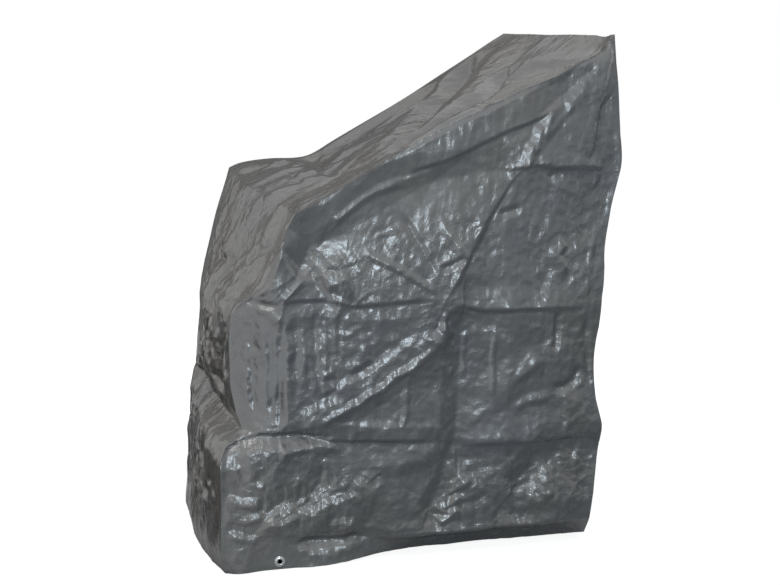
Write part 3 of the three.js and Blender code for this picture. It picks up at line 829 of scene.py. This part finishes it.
# Eyelet metal: bright and worn, with wear finer than the ring.
METAL = {
    "bright": srgb(226, 228, 230),
    "worn": srgb(186, 188, 190),
    "noise": {"Scale": 420, "Detail": 5, "Roughness": 0.65},
    "stops": (0.35, 0.75),
    "span": (0.3, 0.7),
    "rough": (0.22, 0.42),
    "bump": (0.12, 0.3 * MM),
}


def crumpled(n, where, cells, steep):
    """A height in metres: cones of one steepness that meet in crisp creases."""
    found = n.add("TexVoronoi", {"Vector": where, "Scale": cells, "Randomness": 1.0}, feature="F1")
    return n.math("MULTIPLY", found.outputs["Distance"], steep / cells)


def woven(n, cloth):
    """Flat tapes cross at right angles, each a little crowned, one over and one under."""
    scaled = n.add("VectorMath", {0: cloth, "Scale": 1 / CLOTH["tape"]}, operation="SCALE").outputs[0]
    split = n.add("SeparateXYZ", {0: scaled})
    over = [n.math("PINGPONG", split.outputs[axis], 0.5) for axis in (0, 1)]
    checker = n.add("TexChecker", {"Vector": scaled, "Scale": 1.0}).outputs["Fac"]
    weave = n.add("Mix", {0: checker, 2: over[0], 3: over[1]}, data_type="FLOAT").outputs[0]
    return n.math("MULTIPLY", weave, CLOTH["crown"])


def cloth_color(n, where, grime):
    tone = n.ramp(n.noise(where, **DUST["noise"]), *zip(DUST["stops"], (CLOTH["clean"], CLOTH["dusty"])))
    dark = n.ramp(grime, *zip(GRIME["stops"], ((1, 1, 1), GRIME["dark"])))
    return n.add("Mix", {0: 1.0, 6: tone, 7: dark}, data_type="RGBA", blend_type="MULTIPLY").outputs[2]


def fine_folds(n, where, cloth, drawn_lines):
    """The height of what is too fine for the mesh: crumples, and lines drawn along and across the cloth."""
    shaken = n.noise(where, "Color", Scale=WARP["waves"], Detail=1)
    pushed = n.add("VectorMath", {0: shaken, "Scale": WARP["far"]}, operation="SCALE").outputs[0]
    warped = n.add("VectorMath", {0: where, 1: pushed}, operation="ADD").outputs[0]
    fine = n.math("ADD", *(crumpled(n, warped, **row) for row in CRUMPLES))
    for row in LINES:
        laid = n.add("VectorMath", {0: cloth, 1: row["squeeze"]}, operation="MULTIPLY").outputs[0]
        drawn = n.noise(laid, Scale=1.0, Detail=2)
        fine = n.math("ADD", fine, n.math("MULTIPLY", drawn, row["high"] * drawn_lines))
    return fine


def cloth_material(name):
    n = Nodes(bpy.data.materials.new(name))
    where = n.add("TexCoord").outputs["Object"]
    cloth = n.add("UVMap", uv_map="cloth").outputs["UV"]
    crush = n.add("Attribute", attribute_name="crush").outputs["Fac"]
    grime = n.noise(where, **GRIME["noise"])
    fine = n.math("MULTIPLY", fine_folds(n, where, cloth, LINES_SHARE[name]), crush)
    n.feed("Base Color", cloth_color(n, where, grime))
    n.feed("Roughness", n.ranged(grime, GRIME["span"], CLOTH["rough"]))
    n.feed("Specular IOR Level", CLOTH["specular"])
    n.feed("Normal", n.bump(n.math("ADD", woven(n, cloth), fine), 1.0, 1.0))
    return n.owner


def metal_material():
    n = Nodes(bpy.data.materials.new("eyelet_metal"))
    wear = n.noise(n.add("TexCoord").outputs["Object"], **METAL["noise"])
    n.feed("Base Color", n.ramp(wear, *zip(METAL["stops"], (METAL["bright"], METAL["worn"]))))
    n.feed("Roughness", n.ranged(wear, METAL["span"], METAL["rough"]))
    n.feed("Metallic", 1.0)
    n.feed("Normal", n.bump(wear, *METAL["bump"]))
    return n.owner


sheet_finish = cloth_material("woven_sheet")
top_finish = cloth_material("woven_sheet_top")
metal_finish = metal_material()

# ---------- the pieces

DRILL = {"sides": 48, "long": 8 * HEM["sheet"]}
# The pressed ring: its cells round and over the lip, and sizes of its section. The lip is in tube walls.
RING = {"turns": 72, "arc": 7, "lip": 1.6, "dish": 1.6, "edge": 0.4, "wall": 0.3}
# Heights over the hem's face, in thicknesses of the metal.
RING_HIGH = {"lip": 0.55, "crown": 0.75, "dish": 0.95, "edge": 0.5, "inside": 0.3}


def dress(piece, finish, slot, *nodes):
    piece.data.materials.append(finish)
    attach(piece, "root")
    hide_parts(*nodes)
    return piece


def drill(name):
    """A rod through the hem, as thick as the hole for its eyelet's tube."""
    radius = (EYELET["tube"] + SEAM_GAP) * MM
    shape = bmesh.new()
    bmesh.ops.create_cone(shape, cap_ends=True, segments=DRILL["sides"], radius1=radius, radius2=radius,
                          depth=DRILL["long"] * MM)
    rod = bpy.data.meshes.new("drill")
    shape.to_mesh(rod)
    shape.free()
    rod = placed("drill", rod)
    rod.rotation_euler = (0, math.pi / 2, 0)
    rod.location = (PATCHES[name]["out"][X] * WALL_X * MM, EYELET["y"] * MM, EYELET["z"] * MM)
    return rod


def hem_strip(name):
    """The doubled hem, with the hole that its eyelet's tube goes through."""
    strip = sheet_mesh(f"{name}_hem", *rows_of(name, 0, HEM_ROWS + 1), THICK["hem"], 1, flip=name == "left")
    rod = drill(name)
    cut = strip.modifiers.new("hole", "BOOLEAN")
    cut.object, cut.operation, cut.solver = rod, "DIFFERENCE", "EXACT"
    bpy.context.view_layer.update()
    evaluated = strip.evaluated_get(bpy.context.evaluated_depsgraph_get())
    drilled = bpy.data.meshes.new_from_object(evaluated)
    strip.modifiers.clear()
    strip.data = drilled
    bpy.data.objects.remove(rod)
    return strip


def ring_section():
    """Radius and height of each point of the section: a rolled lip, a dished flange and a flat washer."""
    bore, tube, flange, thick = (EYELET[key] for key in ("bore", "tube", "flange", "thick"))
    dish, edge, inside = (thick * RING_HIGH[key] for key in ("dish", "edge", "inside"))
    face = HEM["sheet"] / 2 + SEAM_GAP
    lip, rounded, wall = (tube - bore) * RING["lip"], flange - RING["edge"], tube - RING["wall"]
    section = []
    for a in np.linspace(0, math.pi, RING["arc"]):
        high = RING_HIGH["lip"] + RING_HIGH["crown"] * math.sin(a)
        section.append((bore + lip - lip * math.cos(a), face + thick * high))
    section += [(flange - RING["dish"], face + dish), (rounded, face + edge), (flange, face)]
    section += [(tube, face), (tube, -face), (flange, -face), (rounded, -face - edge)]
    return section + [(wall, -face - edge), (wall, face + inside)]


def eyelet_ring(name):
    """A pressed ring round its hole, turned from its section."""
    side, section = PATCHES[name]["out"][X], ring_section()
    face = WALL_X + HEM["sheet"] / 2
    points = np.array([
        (side * (face + high), EYELET["y"] + radius * math.cos(a), EYELET["z"] + radius * math.sin(a))
        for a in np.arange(RING["turns"]) * 2 * math.pi / RING["turns"] for radius, high in section
    ])
    grid = np.arange(len(points)).reshape(-1, len(section))
    grid = np.pad(grid, ((0, 1), (0, 1)), "wrap")
    mesh = bpy.data.meshes.new(f"{name}_eyelet_ring")
    mesh.from_pydata((points * MM).tolist(), [], quads(grid)[:, [0, 3, 2, 1]].tolist())
    shape = bmesh.new()
    shape.from_mesh(mesh)
    bmesh.ops.recalc_face_normals(shape, faces=shape.faces)
    shape.to_mesh(mesh)
    shape.free()
    mesh.polygons.foreach_set("use_smooth", [True] * len(mesh.polygons))
    return placed(mesh.name, mesh)


rows = [np.concatenate(both) for both in zip(rows_of("front"), rows_of("top", 1))]
strip = dress(sheet_mesh("front_and_top", *rows, THICK["sheet"]), top_finish, "sheet", "centre_strip")
back = sheet_mesh("back", *rows_of("back"), THICK["sheet"], flip=True)
back = dress(back, sheet_finish, "sheet", "centre_strip")
for name in ("right", "left"):
    panel = sheet_mesh(f"{name}_side", *rows_of(name, HEM_ROWS), THICK["sheet"], flip=name == "left")
    panel = dress(panel, sheet_finish, "sheet", f"{name}_side_panel")
    hem = dress(hem_strip(name), sheet_finish, "sheet", f"{name}_hem_strip")
    ring = dress(eyelet_ring(name), metal_finish, "eyelet", f"{name}_eyelet")

# ---------- stage, light and camera

CAMERA = {"place": (3.576, -0.985, 1.158), "azimuth": 74.239, "down": 9.085, "lens": 69.82, "sensor": 36.0}
PALE = {"grey": 0.18, "rough": 0.9}  # the floor under lamps; to the camera it glows white
# The floor's shade and dark are the reach and power of its painted shade, seen in mirrors.
FLOOR = {"radius": 30.0, "sides": 64, "z": -0.0006, "shade": 1.0, "dark": 3.0}
GLOW = {"span": (0.9, 2.2), "to": (0.90, 1.0)}  # of the floor, by distance from the middle
# The floor inside ends short of the hem, and more so where the hem hangs high.
UNDER = {"short": 5, "slant": 3.5, "every": 10, "z": -0.0003}
WORLD = {"plain": 0.10, "color": (0.93, 0.97, 1.0), "white": 1.0}
# Glowing grey cards, no lamps, that only mirrors see, as painted reflections: brightness, where 1 is white,
# and corners.
CARDS = {
    "behind": (0.10, [(-3, -1.6, 0), (-3, 2.6, 0), (-3, 2.6, 2.6), (-3, -1.6, 2.6)]),
    "before_front": (0.06, [(-3, -2.6, 0), (0.3, -2.6, 0), (0.3, -0.55, 0), (-3, -0.55, 0)]),
    "beyond_camera": (0.40, [(4.4, -2, 0), (4.4, 7, 0), (4.4, 7, 3.6), (4.4, -2, 1.5)]),
    "before_side": (0.05, [(0.39, -0.2, 0), (4.4, -2, 0), (4.4, 7, 0), (0.39, 7, 0)]),
}


def matt(name, grey, rough):
    n = Nodes(bpy.data.materials.new(name))
    n.feed("Base Color", (grey, grey, grey, 1))
    n.feed("Roughness", rough)
    n.feed("Specular IOR Level", 0.0)
    return n


def glowing(n, strength):
    n.feed("Emission Color", (1, 1, 1, 1))
    n.feed("Emission Strength", strength)
    return n.owner


def mirrored(n, path):
    """The rays of a mirror or of glass."""
    return n.math("ADD", path.outputs["Is Glossy Ray"], path.outputs["Is Transmission Ray"], clamp=True)


def flat_piece(name, outline, material):
    mesh = bpy.data.meshes.new(name)
    mesh.from_pydata(outline, [], [list(range(len(outline)))])
    mesh.materials.append(material)
    made = placed(name, mesh)
    return made


def stage_floor():
    """A pale floor, white to camera and mirrors, with the cover's shadow, and painted shade beside the cover
    for mirrors.
    """
    n = matt("floor", **PALE)
    where = n.add("TexCoord").outputs["Object"]
    distance = n.add("VectorMath", {0: where}, operation="LENGTH").outputs["Value"]
    path = n.add("LightPath")
    # Painted shade: ambient occlusion darkens the floor's glow near the cover, which the cover's foot
    # mirrors.
    painted_shade = n.add("AmbientOcclusion", {"Distance": FLOOR["shade"]}, samples=4).outputs["AO"]
    painted_shade = n.math("POWER", painted_shade, FLOOR["dark"])
    glossy = n.math("MULTIPLY", mirrored(n, path), painted_shade)
    seen = n.math("ADD", path.outputs["Is Camera Ray"], glossy, clamp=True)
    turns = [k * 2 * math.pi / FLOOR["sides"] for k in range(FLOOR["sides"])]
    disc = [(FLOOR["radius"] * math.cos(a), FLOOR["radius"] * math.sin(a), FLOOR["z"]) for a in turns]
    flat_piece("floor", disc, glowing(n, n.math("MULTIPLY", seen, n.ranged(distance, **GLOW))))


def floor_inside():
    """The floor under the cover, which doesn't glow."""
    feet = [grids["right"][0], grids["back"][0][::-1], grids["left"][0][::-1], grids["front"][0]]
    hem = np.concatenate([foot[:-1:UNDER["every"]] for foot in feet])
    hem = hem * (1 - (UNDER["short"] + UNDER["slant"] * hem[:, 2:]) / WALL_X) * MM
    flat_piece("floor_inside", [(x, y, UNDER["z"]) for x, y, _ in hem], matt("floor_inside", **PALE).owner)


def stand_cards():
    """Glowing cards, painted reflections: the walls mirror some grey as well as the white, and their creases
    show.
    """
    for name, (grey, outline) in CARDS.items():
        card = flat_piece(f"card_{name}", outline, glowing(matt(f"card_{name}", 0, 0.5), grey))
        card.visible_camera = card.visible_diffuse = card.visible_shadow = False


def world_light():
    """A plain light all round, which is white to the camera and to mirrors."""
    n = Nodes(bpy.data.worlds.new("studio"))
    bpy.context.scene.world = n.owner
    n.tree.nodes.clear()
    path = n.add("LightPath")
    seen = n.math("ADD", path.outputs["Is Camera Ray"], mirrored(n, path), clamp=True)
    plain = n.add("Background", {"Color": (*WORLD["color"], 1), "Strength": WORLD["plain"]})
    white = n.add("Background", {"Color": (1, 1, 1, 1), "Strength": WORLD["white"]})
    mixed = n.add("MixShader", {0: seen, 1: plain.outputs[0], 2: white.outputs[0]})
    n.add("OutputWorld", {"Surface": mixed.outputs[0]})


# Soft boxes: the way from the middle of the cover, distance, size, power, colour, and the share that glints.
SOFT_BOXES = {
    "above": ((0.45, -0.52, 0.72), 2.8, 0.9, 35, (1.0, 0.97, 0.93), 0.55),
    "left": ((-0.93, -0.25, 0.22), 3.0, 1.4, 60, (1.0, 0.98, 0.95), 0.0),
    "back": ((-0.25, 0.86, 0.44), 3.0, 1.0, 48, (1.0, 1.0, 1.0), 0.5),
    "key": ((0.970, -0.118, 0.214), 3.04, 0.45, 50, (0.76, 0.89, 0.99), 0.5),
}


def soft_box(name, way, far, size, watts, color, glint):
    """A square lamp, made as two at one place: mirrors see the one and not the other."""
    middle = (Vector(cad_box[0]) + Vector(cad_box[1])) / 2
    way = Vector(way).normalized()
    for part, share in (("glint", glint), ("soft", 1 - glint)):
        if share == 0:
            continue
        light = bpy.data.lights.new(f"{name}_{part}", "AREA")
        light.size, light.energy, light.color = size, watts * share, color
        lamp = placed(light.name, light)
        lamp.location = middle + way * far
        lamp.rotation_euler = way.to_track_quat("Z", "Y").to_euler()
        lamp.visible_camera = False
        lamp.visible_glossy = part == "glint"


def camera():
    data = bpy.data.cameras.new("camera")
    data.lens, data.sensor_width = CAMERA["lens"], CAMERA["sensor"]
    made = placed("camera", data)
    made.location = CAMERA["place"]
    made.rotation_euler = (math.radians(90 - CAMERA["down"]), 0, math.radians(CAMERA["azimuth"]))
    bpy.context.scene.camera = made


stage_floor()
floor_inside()
stand_cards()
world_light()
for name, box in SOFT_BOXES.items():
    soft_box(name, *box)
camera()
bpy.context.scene.view_settings.view_transform = "Standard"
